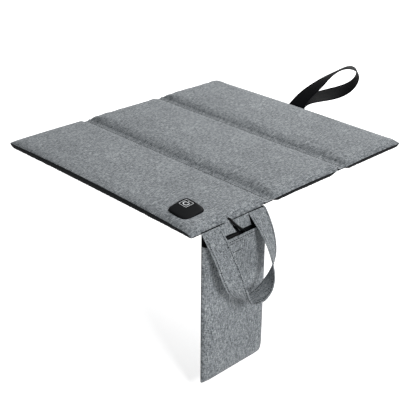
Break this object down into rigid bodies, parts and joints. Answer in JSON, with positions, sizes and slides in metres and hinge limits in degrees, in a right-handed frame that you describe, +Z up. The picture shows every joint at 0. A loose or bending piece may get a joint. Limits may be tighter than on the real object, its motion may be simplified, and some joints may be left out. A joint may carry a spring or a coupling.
{
  "type": "heated seat cushion",
  "caption": "Folding fabric seat cushion with inner heating wires, a push-button heat control, a side flap with a battery pocket, tab and strap handle, and a webbing hanging loop.",
  "frame": {"origin": "centre of the middle panel's flat underside, on the surface that the cushion lies on", "axes": "+X to the end with the pocket flap and handle, +Y to the back panel with the hanging loop, +Z up"},
  "size_m": [0.4604, 0.5492, 0.2923],
  "materials": {
    "grey_cloth": "matte",
    "black_cloth": "matte",
    "foam": "matte",
    "wadding": "matte",
    "carrier_felt": "matte",
    "wire_jacket": "satin",
    "ribbon_jacket": "satin",
    "cutout_film": "gloss",
    "black_silicone": "satin",
    "black_plastic": "matte",
    "green_board": "satin",
    "switch_steel": "satin",
    "cable_jacket": "satin",
    "shell_steel": "satin",
    "webbing": "matte",
    "tape_nylon": "matte"
  },
  "bodies": {
    "middle_panel": {"middle_top_cover": "grey_cloth", "middle_wadding": "wadding", "middle_heating_wire": "wire_jacket", "middle_carrier_mat": "carrier_felt", "middle_foam_core": "foam", "middle_bottom_cover": "black_cloth", "thermal_cutout": "cutout_film"},
    "front_channel": {"front_channel_top": "grey_cloth", "front_ribbon_lead": "ribbon_jacket", "front_channel_bottom": "black_cloth"},
    "front_panel": {"front_top_cover": "grey_cloth", "front_wadding": "wadding", "front_heating_wire": "wire_jacket", "front_carrier_mat": "carrier_felt", "front_foam_core": "foam", "front_bottom_cover": "black_cloth", "control_patch": "black_silicone", "control_tray": "black_plastic", "control_board": "green_board", "tact_switch": "switch_steel", "lead_gland": "black_silicone"},
    "back_channel": {"back_channel_top": "grey_cloth", "back_ribbon_lead": "ribbon_jacket", "back_channel_bottom": "black_cloth"},
    "back_panel": {"back_top_cover": "grey_cloth", "back_wadding": "wadding", "back_heating_wire": "wire_jacket", "back_carrier_mat": "carrier_felt", "back_foam_core": "foam", "back_bottom_cover": "black_cloth", "loop_anchor": "webbing"},
    "pocket_flap": {"flap_lining": "black_cloth", "pocket_front": "grey_cloth", "hook_tape": "tape_nylon", "loop_tape": "tape_nylon", "usb_lead": "cable_jacket", "usb_plug": "black_plastic", "usb_shell": "shell_steel"},
    "closing_flap": {"closing_tab": "grey_cloth"},
    "carry_handle": {"handle_strap": "grey_cloth"},
    "hang_loop": {"hanging_loop": "webbing"},
    "button": {"power_button": "black_silicone"}
  },
  "joints": [
    {"name": "front_channel_fold", "type": "hinge", "parent": "middle_panel", "child": "front_channel", "pos_m": [0, -0.069, 0.0072], "axis": [-1, 0, 0], "range_deg": [0, 90]},
    {"name": "front_panel_fold", "type": "hinge", "parent": "front_channel", "child": "front_panel", "pos_m": [0, -0.086, 0.0072], "axis": [-1, 0, 0], "range_deg": [0, 90]},
    {"name": "back_channel_fold", "type": "hinge", "parent": "middle_panel", "child": "back_channel", "pos_m": [0, 0.069, 0.0072], "axis": [-1, 0, 0], "range_deg": [0, 90]},
    {"name": "back_panel_fold", "type": "hinge", "parent": "back_channel", "child": "back_panel", "pos_m": [0, 0.086, 0.0072], "axis": [-1, 0, 0], "range_deg": [0, 90]},
    {"name": "flap_swing", "type": "hinge", "parent": "front_panel", "child": "pocket_flap", "pos_m": [0.2003, -0.1445, 0.0056], "axis": [0, -1, 0], "range_deg": [-20, 75], "deforming": ["usb_lead"]},
    {"name": "handle_swing", "type": "hinge", "parent": "pocket_flap", "child": "carry_handle", "pos_m": [0.2021, -0.1465, 0.0055], "axis": [0, -1, 0], "range_deg": [0, 38]},
    {"name": "tab_lift", "type": "hinge", "parent": "pocket_flap", "child": "closing_flap", "pos_m": [0.2021, -0.1458, 0.0055], "axis": [0, -1, 0], "range_deg": [0, 45]},
    {"name": "loop_lift", "type": "hinge", "parent": "back_panel", "child": "hang_loop", "pos_m": [-0.0094, 0.2244, 0.0147], "axis": [1, 0, 0], "range_deg": [0, 60]},
    {"name": "button_press", "type": "slide", "parent": "front_panel", "child": "button", "axis": [0, 0, -1], "range_m": [0, 0.0008], "stiffness_N_per_m": 400}
  ]
}
